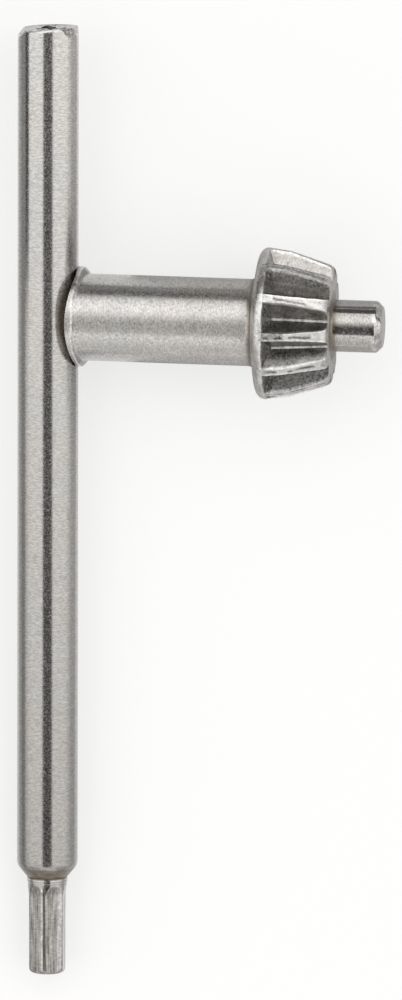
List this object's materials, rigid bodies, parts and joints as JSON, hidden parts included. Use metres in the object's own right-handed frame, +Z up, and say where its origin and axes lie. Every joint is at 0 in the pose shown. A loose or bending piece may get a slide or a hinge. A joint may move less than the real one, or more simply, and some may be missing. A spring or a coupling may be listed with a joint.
{
  "type": "drill chuck key",
  "caption": "Chuck key: a round steel cross bar with a hexagonal end pin, welded to a forged shank that carries a toothed bevel pinion and a pilot pin",
  "frame": {"origin": "middle of the footprint, on the bench that the key lies on", "axes": "+Z up; the cross bar lies nearly along Y with its cropped end towards +Y and its hexagonal pin towards -Y; the shank points to +X and rises 7.25 degrees, as the key lies by itself"},
  "size_m": [0.0422, 0.1104, 0.0174],
  "materials": {
    "bar_steel": "bare steel, ground round, with fine marks around the bar and a cropped end",
    "forged_steel": "bare forged steel, tumbled bright, with burrs along the teeth and brown oxide in the corners"
  },
  "bodies": {
    "root": {"handle_bar": "bar_steel", "key_body": "forged_steel"}
  },
  "joints": []
}
